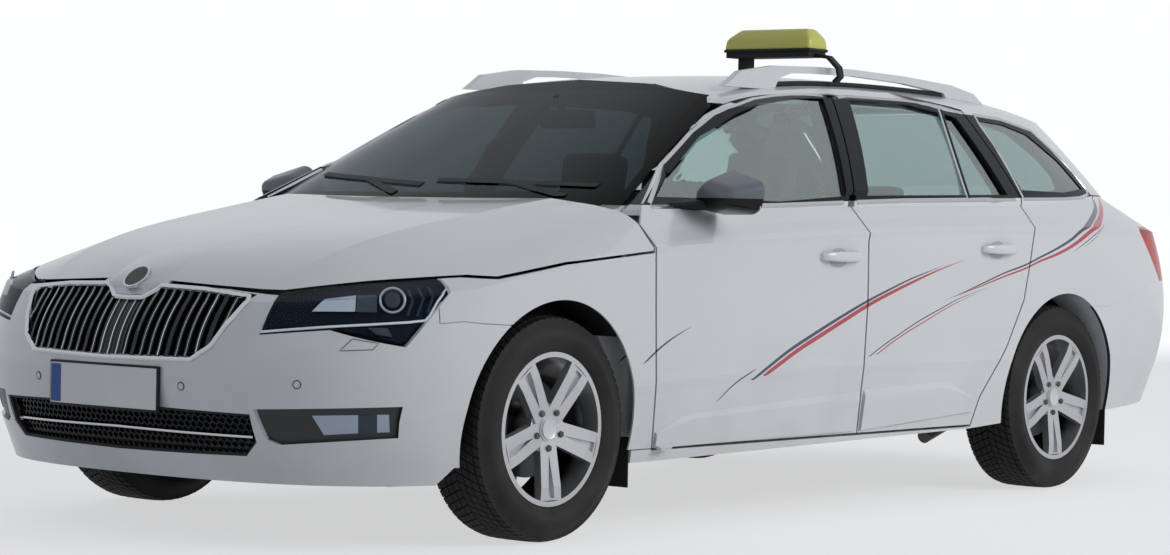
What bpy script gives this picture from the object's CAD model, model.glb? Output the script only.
import bpy
import bmesh
import math
from mathutils import Matrix, Vector
from mathutils.bvhtree import BVHTree


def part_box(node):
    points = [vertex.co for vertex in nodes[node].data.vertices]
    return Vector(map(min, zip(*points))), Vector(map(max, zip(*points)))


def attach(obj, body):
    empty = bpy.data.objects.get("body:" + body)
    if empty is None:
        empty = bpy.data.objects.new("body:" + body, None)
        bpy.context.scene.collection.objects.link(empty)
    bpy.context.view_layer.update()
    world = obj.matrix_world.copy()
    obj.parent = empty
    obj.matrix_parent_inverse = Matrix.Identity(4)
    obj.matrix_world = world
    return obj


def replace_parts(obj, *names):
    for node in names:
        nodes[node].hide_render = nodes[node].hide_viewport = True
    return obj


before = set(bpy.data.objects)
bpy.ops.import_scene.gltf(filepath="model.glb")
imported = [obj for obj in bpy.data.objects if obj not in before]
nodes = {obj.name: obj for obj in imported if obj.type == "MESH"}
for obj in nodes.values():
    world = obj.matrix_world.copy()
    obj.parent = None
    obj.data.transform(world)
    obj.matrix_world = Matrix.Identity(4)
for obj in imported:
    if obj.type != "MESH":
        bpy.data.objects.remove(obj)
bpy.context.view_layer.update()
sides = {"left": 1.0, "right": -1.0}

# Camera, lights and floor

view = {"place": (8.2683, 6.5328, 0.9537), "turn": 219.3487, "tilt": -1.1517, "roll": 1.2326,
        "lens": 94.02, "shift": (0.00284, -0.00191)}


def placeCamera():
    turn, tilt, roll = (math.radians(view[k]) for k in ("turn", "tilt", "roll"))
    ahead = Vector((math.cos(turn) * math.cos(tilt), math.sin(turn) * math.cos(tilt), math.sin(tilt)))
    level = ahead.cross(Vector((0, 0, 1))).normalized()
    upright = level.cross(ahead)
    right = math.cos(roll) * level + math.sin(roll) * upright
    up = math.cos(roll) * upright - math.sin(roll) * level
    data = bpy.data.cameras.new("camera")
    data.lens, data.sensor_width, data.clip_end = view["lens"], 36, 200
    data.shift_x, data.shift_y = view["shift"]
    camera = bpy.data.objects.new("camera", data)
    turned = Matrix((right, up, -ahead)).transposed().to_4x4()
    camera.matrix_world = Matrix.Translation(view["place"]) @ turned
    bpy.context.scene.collection.objects.link(camera)
    bpy.context.scene.camera = camera


studio = {"sky": 0.34, "tone": (0.82, 0.91, 1.0), "white": (0.985, 0.99, 1.0), "shine": 0.6,
          "floor": (0.80, 0.805, 0.81), "reach": 90, "glow": 0.62, "near": 5.0, "far": 16.0, "panel": (5, 4),
          # each lamp's place, aim, power, colour and whether it shows in reflections
          "lamps": {"keyLamp": ((-2.2, 8.6, 4.4), (0.0, 0.3, 0.7), 350, (1.0, 0.985, 0.95), True),
                    "fillLamp": ((9.0, 1.5, 4.5), (1.0, 0, 0.6), 10, (1, 1, 1), True),
                    "backLamp": ((-4.5, -8.5, 5.0), (-0.4, 0, 0.7), 90, (1, 1, 1), False)}}


def addLamp(name, place, aim, power, colour, mirrored):
    data = bpy.data.lights.new(name, "AREA")
    data.shape = "RECTANGLE"
    data.size, data.size_y = studio["panel"]
    data.energy, data.color = power, colour
    light = bpy.data.objects.new(name, data)
    light.location = place
    light.visible_glossy = mirrored
    light.rotation_euler = (Vector(aim) - Vector(place)).to_track_quat("-Z", "Y").to_euler()
    bpy.context.scene.collection.objects.link(light)


# How bright a ray sees the studio: full for the camera, also through glass, and less in a reflection
def seenShare(tree):
    paths = tree.nodes.new("ShaderNodeLightPath")
    seen = math2(tree, "MAXIMUM", paths.outputs["Is Camera Ray"], paths.outputs["Is Transmission Ray"])
    mirrored = math2(tree, "MULTIPLY", paths.outputs["Is Glossy Ray"], studio["shine"])
    return math2(tree, "MAXIMUM", seen, mirrored)


def mixShaders(tree, share, first, second):
    mix = tree.nodes.new("ShaderNodeMixShader")
    feed(tree, mix, {0: share, 1: first, 2: second})
    return mix.outputs[0]


def lightStudio():
    world = bpy.data.worlds.new("studio")
    bpy.context.scene.world = world
    world.use_nodes = True
    tree = world.node_tree
    tree.nodes.clear()
    skies = []
    for colour, strength in ((studio["tone"], studio["sky"]), (studio["white"], 1.0)):
        sky = tree.nodes.new("ShaderNodeBackground")
        feed(tree, sky, {"Color": colour, "Strength": strength})
        skies.append(sky.outputs[0])
    out = tree.nodes.new("ShaderNodeOutputWorld")
    tree.links.new(mixShaders(tree, seenShare(tree), *skies), out.inputs[0])
    for name, values in studio["lamps"].items():
        addLamp(name, *values)
    bm = bmesh.new()
    bmesh.ops.create_grid(bm, x_segments=1, y_segments=1, size=studio["reach"])
    finishPiece("studioFloor", bm, None, floorMaterial())


# The floor keeps the shadow near the car and turns white further out
def floorMaterial():
    material, tree, surface = newMaterial("paleFloor")
    feed(tree, surface, {"Base Color": studio["floor"], "Roughness": 0.9})
    place = tree.nodes.new("ShaderNodeTexCoord")
    reach = tree.nodes.new("ShaderNodeVectorMath")
    reach.operation = "LENGTH"
    tree.links.new(place.outputs["Object"], reach.inputs[0])
    far = fade(tree, reach.outputs["Value"], studio["near"], studio["far"])
    share = math2(tree, "MULTIPLY", seenShare(tree), math2(tree, "MAXIMUM", far, studio["glow"]))
    white = tree.nodes.new("ShaderNodeEmission")
    feed(tree, white, {"Color": studio["white"]})
    lit = mixShaders(tree, share, surface.outputs[0], white.outputs[0])
    tree.links.new(lit, tree.nodes["Material Output"].inputs["Surface"])
    return material


# Material helpers

def newMaterial(name):
    material = bpy.data.materials.new(name)
    material.use_nodes = True
    tree = material.node_tree
    return material, tree, tree.nodes["Principled BSDF"]


# Each named or numbered socket takes a link, a colour or a plain value
def feed(tree, node, values):
    for key, value in values.items():
        if isinstance(value, bpy.types.NodeSocket):
            tree.links.new(value, node.inputs[key])
        else:
            node.inputs[key].default_value = (*value, 1) if isinstance(value, tuple) else value


def math2(tree, operation, first, second=0.0, clamp=False):
    node = tree.nodes.new("ShaderNodeMath")
    node.operation, node.use_clamp = operation, clamp
    feed(tree, node, {0: first, 1: second})
    return node.outputs[0]


def fade(tree, value, low, high):
    node = tree.nodes.new("ShaderNodeMapRange")
    node.interpolation_type = "SMOOTHSTEP"
    feed(tree, node, {"Value": value, "From Min": low, "From Max": high})
    return node.outputs["Result"]


def blend(tree, mask, under, over):
    node = tree.nodes.new("ShaderNodeMix")
    node.data_type = "RGBA"
    feed(tree, node, {0: mask, 6: under, 7: over})
    return node.outputs[2]


def clouds(tree, place, scale, detail):
    node = tree.nodes.new("ShaderNodeTexNoise")
    feed(tree, node, {"Vector": place.outputs["Object"], "Scale": scale, "Detail": detail})
    return node.outputs["Fac"]


def objectPlace(tree):
    place = tree.nodes.new("ShaderNodeTexCoord")
    parts = tree.nodes.new("ShaderNodeSeparateXYZ")
    tree.links.new(place.outputs["Object"], parts.inputs[0])
    return place, parts.outputs


# A height that follows a few points along the car
def graph(tree, value, points, low=0.0, high=1.5, start=-2.5, end=2.5):
    spread = tree.nodes.new("ShaderNodeMapRange")
    feed(tree, spread, {"Value": value, "From Min": start, "From Max": end})
    line = tree.nodes.new("ShaderNodeFloatCurve")
    tree.links.new(spread.outputs["Result"], line.inputs["Value"])
    curve = line.mapping.curves[0]
    places = [((x - start) / (end - start), (y - low) / (high - low)) for x, y in sorted(points)]
    curve.points[0].location, curve.points[1].location = places[0], places[-1]
    for place in places[1:-1]:
        curve.points.new(*place)
    for point in curve.points:
        point.handle_type = "AUTO_CLAMPED"
    line.mapping.extend = "HORIZONTAL"
    line.mapping.update()
    back = tree.nodes.new("ShaderNodeMapRange")
    back.clamp = False
    feed(tree, back, {"Value": line.outputs[0], "To Min": low, "To Max": high})
    return back.outputs["Result"]


# Shared effects

def newGroup(name, values, results):
    group = bpy.data.node_groups.new(name, "ShaderNodeTree")
    for key, value in values.items():
        socket = group.interface.new_socket(key, in_out="INPUT", socket_type="NodeSocketFloat")
        socket.default_value = value
    for key, kind in results.items():
        group.interface.new_socket(key, in_out="OUTPUT", socket_type=kind)
    return group, group.nodes.new("NodeGroupInput").outputs, group.nodes.new("NodeGroupOutput")


def buildDust():
    values = {"Height": 0.55, "Amount": 0.3, "Scale": 5.0}
    group, given, put = newGroup("roadDust", values, {"Mask": "NodeSocketFloat"})
    place, parts = objectPlace(group)
    low = math2(group, "SUBTRACT", 1.0, math2(group, "DIVIDE", parts[2], given["Height"]), True)
    patches = fade(group, clouds(group, place, given["Scale"], 6), 0.35, 0.75)
    amount = math2(group, "MULTIPLY", math2(group, "MULTIPLY", low, patches), given["Amount"])
    feed(group, put, {"Mask": amount})
    return group


def buildGrain():
    values = {"Scale": 900.0, "Depth": 0.0003}
    group, given, put = newGroup("mouldedGrain", values, {"Normal": "NodeSocketVector"})
    place = group.nodes.new("ShaderNodeTexCoord")
    cells = group.nodes.new("ShaderNodeTexVoronoi")
    feed(group, cells, {"Vector": place.outputs["Object"], "Scale": given["Scale"]})
    bump = group.nodes.new("ShaderNodeBump")
    feed(group, bump, {"Height": cells.outputs["Distance"], "Distance": given["Depth"]})
    feed(group, put, {"Normal": bump.outputs[0]})
    return group


def useGroup(tree, group, values):
    node = tree.nodes.new("ShaderNodeGroup")
    node.node_tree = group
    feed(tree, node, values)
    return node.outputs


dust = buildDust()
grain = buildGrain()
dustColour = (0.30, 0.27, 0.23)
finish = {"scale": 9, "detail": 4, "spread": 0.15, "coatRoughness": 0.04, "dust": 7.0}


def plainMaterial(name, colour, roughness, metallic=0.0, dirt=0.0, height=0.6, grainScale=0.0,
                  grainDepth=0.0003, coat=0.0, mottle=0.06, shine=0.5):
    material, tree, surface = newMaterial(name)
    place = tree.nodes.new("ShaderNodeTexCoord")
    cloud = clouds(tree, place, finish["scale"], finish["detail"])
    look = blend(tree, cloud, colour, tuple(c * (1 - 2 * mottle) for c in colour))
    if dirt:
        dirty = useGroup(tree, dust, {"Height": height, "Amount": dirt, "Scale": finish["dust"]})
        look = blend(tree, dirty["Mask"], look, dustColour)
    rough = tree.nodes.new("ShaderNodeMapRange")
    feed(tree, rough, {"Value": cloud, "To Min": roughness * (1 - finish["spread"]),
                       "To Max": min(1.0, roughness * (1 + finish["spread"]))})
    feed(tree, surface, {"Base Color": look, "Roughness": rough.outputs["Result"], "Metallic": metallic,
                         "Specular IOR Level": shine, "Coat Weight": coat,
                         "Coat Roughness": finish["coatRoughness"]})
    if grainScale:
        moulded = useGroup(tree, grain, {"Scale": grainScale, "Depth": grainDepth})
        feed(tree, surface, {"Normal": moulded["Normal"]})
    return material


# A second colour over a finished material, where the mask is one
def paintOver(material, mask, colour):
    tree = material.node_tree
    surface = tree.nodes["Principled BSDF"]
    look = surface.inputs["Base Color"].links[0].from_socket
    feed(tree, surface, {"Base Color": blend(tree, mask, look, colour)})


# Paint with the swoosh stripes, the black window frames and the pressed creases

paint = {"white": (0.72, 0.735, 0.755), "navy": (0.016, 0.024, 0.075), "red": (0.50, 0.012, 0.045),
         "frame": (0.012, 0.013, 0.016), "inside": (0.055, 0.056, 0.06), "roughness": 0.28, "coat": 0.8,
         "coatRoughness": 0.03, "scale": 2.2, "detail": 3, "shade": 0.95, "shine": 0.5, "dull": 0.85,
         "dust": {"Height": 0.62, "Amount": 0.30, "Scale": 3.5}, "stripeTop": 1.07, "stripeWide": 0.03,
         "stripeEdge": (0.0003, 0.0010), "frameEdge": 0.0005, "turned": (-0.30, -0.35), "press": 0.6}

# Each stripe's colour, its middle line and its half width, as heights along the car
stripes = [
    ("navy", [(-0.545, 0.8155), (-0.413, 0.7852), (-0.295, 0.7576), (-0.180, 0.725), (-0.063, 0.6902),
              (0.0985, 0.6352), (0.232, 0.5863), (0.363, 0.5358), (0.465, 0.4882), (0.547, 0.4486)],
     [(-0.545, 0.0), (-0.413, 0.0022), (-0.063, 0.0052), (0.30, 0.0068), (0.52, 0.0060), (0.56, 0.0)]),
    ("red", [(-0.700, 0.839), (-0.5645, 0.8105), (-0.454, 0.7852), (-0.316, 0.7492), (-0.181, 0.7113),
             (-0.0685, 0.6767), (0.078, 0.6242), (0.2035, 0.5778), (0.318, 0.5349), (0.403, 0.4972),
             (0.487, 0.460)],
     [(-0.700, 0.0), (-0.454, 0.0035), (-0.181, 0.0068), (0.20, 0.0088), (0.46, 0.0080), (0.495, 0.0)]),
    ("navy", [(0.53, 0.484), (0.641, 0.437), (0.722, 0.384)],
     [(0.52, 0.0), (0.62, 0.0035), (0.71, 0.003), (0.725, 0.0)]),
    ("navy", [(0.87, 0.626), (1.001, 0.574), (1.115, 0.508)],
     [(0.865, 0.0), (0.96, 0.003), (1.08, 0.0045), (1.115, 0.0)]),
    ("red", [(-1.85, 1.062), (-1.709, 1.0118), (-1.613, 0.979), (-1.487, 0.9375), (-1.432, 0.9126),
             (-1.349, 0.8776), (-1.243, 0.8459), (-1.133, 0.8216), (-1.033, 0.7951), (-0.906, 0.7691),
             (-0.7815, 0.7416), (-0.673, 0.7183), (-0.553, 0.6916)],
     [(-1.85, 0.001), (-1.709, 0.007), (-1.613, 0.0075), (-1.487, 0.0104), (-1.432, 0.0100), (-1.349, 0.0077),
      (-1.243, 0.0061), (-1.133, 0.0045), (-0.906, 0.0036), (-0.673, 0.0022), (-0.553, 0.0)]),
    ("navy", [(-1.785, 1.073), (-1.693, 1.0245), (-1.602, 0.9935), (-1.499, 0.9625), (-1.41, 0.9345),
              (-1.335, 0.8988), (-1.219, 0.8598), (-1.126, 0.8342), (-1.031, 0.8073), (-0.904, 0.7811),
              (-0.780, 0.7495), (-0.659, 0.7184), (-0.581, 0.6993), (-0.462, 0.6768)],
     [(-1.785, 0.001), (-1.693, 0.006), (-1.602, 0.0072), (-1.499, 0.0075), (-1.41, 0.0085), (-1.335, 0.0072),
      (-1.219, 0.0052), (-1.031, 0.0040), (-0.780, 0.0032), (-0.62, 0.0018), (-0.462, 0.0)]),
    ("navy", [(-0.901, 0.7463), (-0.805, 0.7315), (-0.682, 0.7064), (-0.611, 0.6912), (-0.528, 0.6665),
              (-0.377, 0.6197), (-0.258, 0.5753), (-0.167, 0.5396), (-0.084, 0.5026)],
     [(-0.901, 0.0), (-0.682, 0.0016), (-0.377, 0.0030), (-0.10, 0.0028), (-0.080, 0.0)]),
    ("red", [(-0.806, 0.7275), (-0.712, 0.7062), (-0.627, 0.6852), (-0.529, 0.6567), (-0.406, 0.6154),
             (-0.286, 0.5748), (-0.207, 0.5438), (-0.130, 0.5092)],
     [(-0.806, 0.0), (-0.627, 0.0018), (-0.30, 0.0030), (-0.145, 0.0028), (-0.128, 0.0)]),
    ("navy", [(-1.596, 0.9623), (-1.4765, 0.9056), (-1.3925, 0.8691), (-1.326, 0.8413)],
     [(-1.60, 0.0), (-1.48, 0.0028), (-1.326, 0.0)]),
    ("red", [(-1.566, 0.9457), (-1.507, 0.9058), (-1.422, 0.8677)],
     [(-1.57, 0.0), (-1.50, 0.0022), (-1.42, 0.0)]),
]
windowTop = [(-1.75, 1.06), (-1.66, 1.150), (-1.60, 1.196), (-1.476, 1.292), (-1.262, 1.325),
             (-0.893, 1.344), (-0.641, 1.372), (-0.180, 1.372), (0.008, 1.366), (0.210, 1.345),
             (0.365, 1.305), (0.571, 1.225), (0.803, 1.098), (1.02, 0.985)]
windowLow = [(-1.75, 1.06), (-1.60, 1.050), (-1.157, 1.044), (-0.368, 1.026), (0.336, 0.999), (1.02, 0.984)]
# Pressed lines with how wide and how deep they are
creases = [
    ([(-2.1, 0.940), (-1.066, 0.945), (-0.030, 0.925), (1.099, 0.868), (1.75, 0.80)], 0.030, 0.006),
    ([(-0.80, 0.475), (-0.050, 0.478), (0.982, 0.452), (1.10, 0.440)], 0.030, 0.004),
]
bonnetFolds = [
    ([(1.45, 0.230), (1.70, 0.165), (1.885, 0.120), (2.055, 0.090), (2.20, 0.072)], 0.030, 0.004),
    ([(1.10, 0.660), (1.341, 0.620), (1.673, 0.551), (2.017, 0.511), (2.13, 0.478), (2.222, 0.440)],
     0.045, 0.006),
]


# A pressed ridge along each line
def foldHeight(tree, across, along, lines):
    height = None
    for line, width, deep in lines:
        away = math2(tree, "DIVIDE", math2(tree, "SUBTRACT", across, graph(tree, along, line)), width)
        fold = math2(tree, "SUBTRACT", 1.0, math2(tree, "ABSOLUTE", away), True)
        fold = math2(tree, "MULTIPLY", fold, deep)
        height = fold if height is None else math2(tree, "ADD", height, fold)
    return height


def paintMaterial(name, inward, striped=False, framed=False, creased=False, folded=False):
    material, tree, surface = newMaterial(name)
    place, (x, y, z) = objectPlace(tree)
    cloud = clouds(tree, place, paint["scale"], paint["detail"])
    look = blend(tree, cloud, paint["white"], tuple(c * paint["shade"] for c in paint["white"]))
    look = blend(tree, useGroup(tree, dust, paint["dust"])["Mask"], look, dustColour)
    if striped:
        for colour, centre, width in stripes:
            away = math2(tree, "ABSOLUTE", math2(tree, "SUBTRACT", z, graph(tree, x, centre)))
            half = graph(tree, x, width, 0.0, paint["stripeWide"])
            mask = fade(tree, math2(tree, "SUBTRACT", half, away), *paint["stripeEdge"])
            behind = math2(tree, "GREATER_THAN", x, min(width)[0])
            inside = math2(tree, "MULTIPLY", behind, math2(tree, "LESS_THAN", x, max(width)[0]))
            inside = math2(tree, "MULTIPLY", inside, math2(tree, "LESS_THAN", z, paint["stripeTop"]))
            look = blend(tree, math2(tree, "MULTIPLY", mask, inside), look, paint[colour])
    if framed:
        soft = paint["frameEdge"]
        under = fade(tree, math2(tree, "SUBTRACT", graph(tree, x, windowTop), z), -soft, soft)
        over = fade(tree, math2(tree, "SUBTRACT", z, graph(tree, x, windowLow)), -soft, soft)
        black = math2(tree, "MULTIPLY", under, over)
        look = blend(tree, black, look, paint["frame"])
        clean = math2(tree, "SUBTRACT", 1.0, math2(tree, "MULTIPLY", black, paint["dull"]))
        feed(tree, surface, {"Specular IOR Level": math2(tree, "MULTIPLY", clean, paint["shine"]),
                             "Coat Weight": math2(tree, "MULTIPLY", clean, paint["coat"])})
    else:
        feed(tree, surface, {"Coat Weight": paint["coat"]})
    normal = tree.nodes.new("ShaderNodeSeparateXYZ")
    tree.links.new(place.outputs["Normal"], normal.inputs[0])
    if inward == "y":
        turned = math2(tree, "MULTIPLY", normal.outputs[1], math2(tree, "SIGN", y))
    elif inward in ("tail", "nose"):
        turned = math2(tree, "MULTIPLY", normal.outputs[0], -1.0 if inward == "tail" else 1.0)
    else:
        turned = normal.outputs[2]
    look = blend(tree, fade(tree, turned, *paint["turned"]), look, paint["inside"])
    feed(tree, surface, {"Base Color": look, "Roughness": paint["roughness"],
                         "Coat Roughness": paint["coatRoughness"]})
    if creased or folded:
        if folded:
            height = foldHeight(tree, math2(tree, "ABSOLUTE", y), x, bonnetFolds)
        else:
            height = foldHeight(tree, z, x, creases)
        bump = tree.nodes.new("ShaderNodeBump")
        feed(tree, bump, {"Strength": paint["press"], "Distance": 1.0, "Height": height})
        feed(tree, surface, {"Normal": bump.outputs[0]})
    return material


# Glass lets shadow and diffuse rays through, so the light inside stays smooth
def glassMaterial(name, tint, roughness=0.0, through=1.0, bend=1.45, open=0.8):
    material, tree, surface = newMaterial(name)
    paths = tree.nodes.new("ShaderNodeLightPath")
    passing = math2(tree, "MAXIMUM", paths.outputs["Is Shadow Ray"], paths.outputs["Is Diffuse Ray"])
    solid = math2(tree, "SUBTRACT", 1.0, math2(tree, "MULTIPLY", passing, open))
    feed(tree, surface, {"Base Color": tint, "Roughness": roughness, "IOR": bend,
                         "Transmission Weight": through, "Alpha": solid})
    return material


frit = {"top": 1.362, "low": 1.012, "edge": 0.736, "foot": 0.993, "slope": 0.4986, "width": 0.020,
        "soft": 0.004, "sideSoft": 0.003, "black": (0.004, 0.004, 0.005), "tint": (0.034, 0.054, 0.070)}


# The windscreen has a black band round its edge
def screenMaterial():
    material = glassMaterial("screenTint", frit["black"], bend=1.14)
    tree = material.node_tree
    y, z = objectPlace(tree)[1][1:]
    above = fade(tree, z, frit["top"], frit["top"] + frit["soft"])
    below = fade(tree, z, frit["low"], frit["low"] - frit["soft"])
    border = math2(tree, "MAXIMUM", above, below)
    drawnIn = math2(tree, "MULTIPLY", math2(tree, "SUBTRACT", z, frit["foot"]), frit["slope"])
    edge = math2(tree, "SUBTRACT", frit["edge"] - frit["width"], drawnIn)
    over = math2(tree, "SUBTRACT", math2(tree, "ABSOLUTE", y), edge)
    border = math2(tree, "MAXIMUM", border, fade(tree, over, 0.0, frit["sideSoft"]))
    look = blend(tree, border, frit["tint"], frit["black"])
    feed(tree, tree.nodes["Principled BSDF"], {"Base Color": look})
    return material


# Piece helpers

def finishPiece(name, bm, body, material, smooth=None):
    mesh = bpy.data.meshes.new(name)
    bm.to_mesh(mesh)
    bm.free()
    piece = bpy.data.objects.new(name, mesh)
    bpy.context.scene.collection.objects.link(piece)
    if material:
        mesh.materials.append(material)
    if smooth is not None:
        mesh.polygons.foreach_set("use_smooth", [True] * len(mesh.polygons))
        if smooth:
            mesh.set_sharp_from_angle(angle=math.radians(smooth))
    if body:
        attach(piece, body)
    return piece


def skinOf(*names):
    bm = bmesh.new()
    for name in names:
        bm.from_mesh(nodes[name].data)
    tree = BVHTree.FromBMesh(bm)
    bm.free()
    return tree


# Where a level ray from beside or before the car meets a surface, and the normal there
clear = {"side": 1.4, "nose": 3.0, "tail": -3.0, "roof": 1.7}


def onSide(tree, x, z, sign):
    return tree.ray_cast(Vector((x, sign * clear["side"], z)), Vector((0, -sign, 0)))[:2]


def onNose(tree, y, z):
    return tree.ray_cast(Vector((clear["nose"], y, z)), Vector((-1, 0, 0)))[:2]


# The places that were met, each moved in along its normal
def sunk(found, depth):
    return [spot - normal * depth for spot, normal in found if spot]


# The height of a line of (place, height) points at one place
def heightAt(line, place):
    line = sorted(line)
    for (x0, z0), (x1, z1) in zip(line, line[1:]):
        if place <= x1:
            return z0 + (z1 - z0) * (place - x0) / (x1 - x0)
    return line[-1][1]


def alongLine(points, step):
    line = [Vector(points[0])]
    for a, b in zip(points, points[1:]):
        a, b = Vector(a), Vector(b)
        count = max(1, round((b - a).length / step))
        line += [a.lerp(b, k / count) for k in range(1, count + 1)]
    return line


def layStrips(name, runs, thickness, body, material, closed=False):
    data = bpy.data.curves.new(name, "CURVE")
    data.dimensions, data.bevel_depth, data.bevel_resolution = "3D", thickness, 2
    data.use_fill_caps = True
    for places in runs:
        spline = data.splines.new("POLY")
        spline.points.add(len(places) - 1)
        for point, place in zip(spline.points, places):
            point.co = (*place, 1)
        spline.use_cyclic_u = closed
    rough = bpy.data.objects.new(name + "Line", data)
    mesh = bpy.data.meshes.new_from_object(rough)
    bpy.data.objects.remove(rough)
    bm = bmesh.new()
    bm.from_mesh(mesh)
    bmesh.ops.remove_doubles(bm, verts=bm.verts, dist=0.0001)
    return finishPiece(name, bm, body, material, 40)


bevelled = {"affect": "EDGES", "profile": 0.5, "material": -1}


def roundedBlock(size, bevel, segments=3, seat=None):
    bm = bmesh.new()
    bmesh.ops.create_cube(bm, size=1)
    bmesh.ops.scale(bm, vec=size, verts=bm.verts)
    bmesh.ops.bevel(bm, geom=bm.edges[:], offset=bevel, segments=segments, **bevelled)
    if seat:
        bmesh.ops.transform(bm, matrix=seat, verts=bm.verts)
    return bm


def convexPiece(points, bevel=0.0, segments=2):
    bm = bmesh.new()
    for point in points:
        bm.verts.new(point)
    bmesh.ops.convex_hull(bm, input=bm.verts)
    bmesh.ops.dissolve_limit(bm, angle_limit=0.03, verts=bm.verts, edges=bm.edges)
    bmesh.ops.recalc_face_normals(bm, faces=bm.faces)
    if bevel:
        bmesh.ops.bevel(bm, geom=bm.edges[:], offset=bevel, segments=segments, **bevelled)
    return bm


def grownCorners(made):
    return [v for v in made["geom"] if isinstance(v, bmesh.types.BMVert)]


# A round lid with its back on the seat and its face set in
def roundLid(radius, thick, insets, segments, seat):
    bm = bmesh.new()
    bmesh.ops.create_circle(bm, cap_ends=True, segments=segments, radius=radius)
    lid = bmesh.ops.extrude_face_region(bm, geom=bm.faces[:])
    bmesh.ops.translate(bm, vec=(0, 0, thick), verts=grownCorners(lid))
    top = max(bm.faces, key=lambda f: f.calc_center_median().z)
    for width, depth in insets:
        bmesh.ops.inset_region(bm, faces=[top], thickness=width, depth=depth)
    bmesh.ops.recalc_face_normals(bm, faces=bm.faces)
    bmesh.ops.transform(bm, matrix=seat, verts=bm.verts)
    return bm


# A walled sheet: shape gives each point from two shares of -1 to 1, and the sheet faces along one axis
def shapedSheet(cuts, shape, thick, axis=0):
    bm = bmesh.new()
    bmesh.ops.create_grid(bm, x_segments=cuts[0], y_segments=cuts[1], size=1)
    missed = []
    for v in bm.verts:
        place = shape(v.co.x, v.co.y)
        if place is None:
            missed.append(v)
        else:
            v.co = place
    bmesh.ops.delete(bm, geom=missed, context="VERTS")
    bmesh.ops.recalc_face_normals(bm, faces=bm.faces)
    if sum(f.normal[axis] for f in bm.faces) < 0:
        bmesh.ops.reverse_faces(bm, faces=bm.faces)
    bmesh.ops.solidify(bm, geom=bm.faces[:], thickness=thick)
    bmesh.ops.recalc_face_normals(bm, faces=bm.faces)
    return bm


# Where a pixel of the picture meets a surface
picture = {"wide": 1170, "centre": (585, 277.5), "film": 36}


def fromView(tree, across, down):
    shift = Vector(view["shift"]) * picture["wide"]
    scale = view["lens"] / picture["film"] * picture["wide"]
    middleX, middleY = picture["centre"]
    camera = bpy.context.scene.camera.matrix_world
    aim = Vector(((across - middleX + shift.x) / scale, (middleY - down + shift.y) / scale, -1))
    return tree.ray_cast(camera.translation, (camera.to_3x3() @ aim).normalized())[:2]


# A thin patch laid on a surface between four corners of the picture
def laidPatch(skin, corners, lift, thick, cuts=10):
    a, b, c, d = (Vector(p) for p in corners)

    def shape(x, y):
        across, down = (x + 1) / 2, (y + 1) / 2
        place = a.lerp(b, across).lerp(d.lerp(c, across), down)
        spot, normal = fromView(skin, place.x, place.y)
        return spot + normal * lift if spot else None

    return shapedSheet((cuts, cuts), shape, thick)


def mirrorCopy(bm):
    other = bm.copy()
    bmesh.ops.scale(other, vec=(1, -1, 1), verts=other.verts)
    bmesh.ops.reverse_faces(other, faces=other.faces)
    return other


# The same places on the left, 1, or on the right, -1
def onHand(places, sign):
    return [(p.x, p.y * sign, p.z) for p in places]


# A door's body has its side in its name
def bodyOn(body, side):
    return body if body == "root" else body + "_" + side


# The left piece and its mirror image on the right, on the root or on each side's own body
def pair(name, bm, body, material, smooth=None):
    other = mirrorCopy(bm)
    left = finishPiece(name + "Left", bm, bodyOn(body, "left"), material, smooth)
    right = finishPiece(name + "Right", other, bodyOn(body, "right"), material, smooth)
    return left, right


# A matrix at a spot with its Z along the surface's normal
def facing(spot, normal, up=(0, 0, 1)):
    side = Vector(up).cross(normal).normalized()
    return Matrix.Translation(spot) @ Matrix((side, normal.cross(side), normal)).transposed().to_4x4()


def bothSides(*names):
    return [name + "_" + side for name in names for side in sides]


def useCad(names, material):
    for name in names:
        mesh = nodes[name].data
        mesh.materials.clear()
        mesh.materials.append(material)


print("tools and shared effects ready")
placeCamera()
lightStudio()

# Finishes

rim = {"face": 0.842, "deep": 0.800, "shade": (0.045, 0.045, 0.048)}


# Bright spokes, and a darker barrel and brake disc behind them
def rimMaterial():
    material = plainMaterial("wheelAlloy", (0.60, 0.61, 0.63), 0.30, 0.75, dirt=0.12, height=0.8, coat=0.3)
    tree = material.node_tree
    across = math2(tree, "ABSOLUTE", objectPlace(tree)[1][1])
    paintOver(material, fade(tree, across, rim["face"], rim["deep"]), rim["shade"])
    return material


chrome = plainMaterial("chrome", (0.58, 0.60, 0.63), 0.14, 1.0, mottle=0.02)
blackGloss = plainMaterial("blackGloss", (0.008, 0.009, 0.012), 0.2, coat=0.15, shine=0.3)
blackPlastic = plainMaterial("blackPlastic", (0.016, 0.017, 0.019), 0.55, dirt=0.12, grainScale=700,
                             shine=0.2)
softBlack = plainMaterial("softBlack", (0.026, 0.026, 0.029), 0.7, grainScale=450, grainDepth=0.0005,
                          shine=0.2)
rubber = plainMaterial("tyreRubber", (0.014, 0.014, 0.015), 0.66, dirt=0.07, height=0.9, grainScale=260,
                       grainDepth=0.0004, shine=0.25)
alloy = rimMaterial()
darkMetal = plainMaterial("darkMetal", (0.05, 0.05, 0.055), 0.5, 0.4, dirt=0.5, height=0.8, grainScale=300)
castIron = plainMaterial("castIron", (0.14, 0.14, 0.14), 0.6, 0.7, dirt=0.3, grainScale=220,
                         grainDepth=0.0006)
brushed = plainMaterial("pipeSteel", (0.42, 0.41, 0.40), 0.38, 0.9, dirt=0.4)
railSilver = plainMaterial("railSilver", (0.72, 0.73, 0.75), 0.32, 0.35, coat=0.3)
plateWhite = plainMaterial("plateWhite", (0.80, 0.80, 0.79), 0.45, dirt=0.10, mottle=0.02)
plateBlue = plainMaterial("plateBlue", (0.012, 0.07, 0.30), 0.4, mottle=0.02)
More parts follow.
